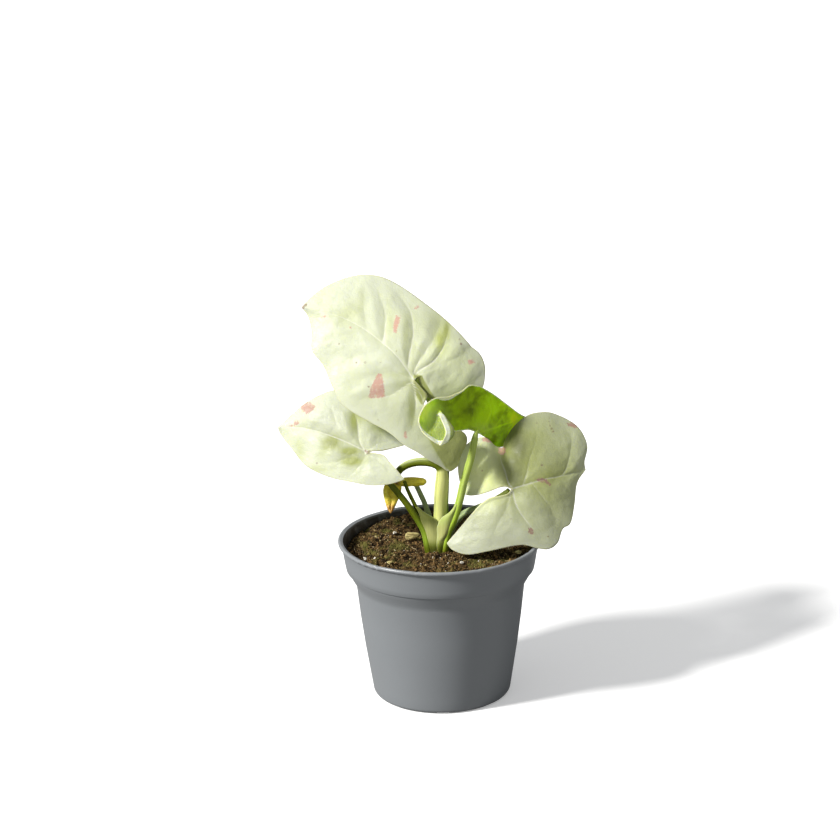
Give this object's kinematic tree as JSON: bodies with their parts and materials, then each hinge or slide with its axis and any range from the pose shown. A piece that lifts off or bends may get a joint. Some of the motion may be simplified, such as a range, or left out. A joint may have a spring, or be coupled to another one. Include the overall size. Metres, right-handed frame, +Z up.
{
  "type": "potted arrowhead plant",
  "caption": "Young arrowhead plant with cream-green, pink-flecked leaves on slender stalks, rooted in potting soil in a tapered grey plastic nursery pot.",
  "frame": {"origin": "centre of the flat underside of the pot, on the pot's axis", "axes": "+Z is up along the pot's axis, -Y is the front that faces the viewer, and +X is to the viewer's right"},
  "size_m": [0.137, 0.09, 0.1835],
  "materials": {
    "pot_plastic": "satin",
    "potting_soil": "matte",
    "root": "matte",
    "stem_pale": "satin",
    "stem_green": "satin",
    "stem_olive": "satin",
    "leaf_cream": "satin",
    "leaf_green": "satin",
    "leaf_withered": "matte",
    "bark": "matte",
    "perlite": "matte"
  },
  "bodies": {
    "root": {"nursery_pot": "pot_plastic", "potting_soil": "potting_soil", "rootstock": "root", "petiole_top": "stem_pale", "petiole_withered": "stem_pale", "petiole_left": "stem_green", "petiole_young": "stem_green", "petiole_right": "stem_green", "petiole_stub_left": "stem_olive", "petiole_stub_back": "stem_olive", "blade_top": "leaf_cream", "blade_left": "leaf_cream", "blade_right": "leaf_cream", "blade_young": "leaf_green", "blade_withered": "leaf_withered", "bark_chip_left": "bark", "bark_chip_right": "bark", "bark_chip_front": "bark", "perlite_grain_back": "perlite", "perlite_grain_left": "perlite", "perlite_grain_middle": "perlite", "perlite_grain_front": "perlite", "perlite_grain_right": "perlite"}
  },
  "joints": []
}
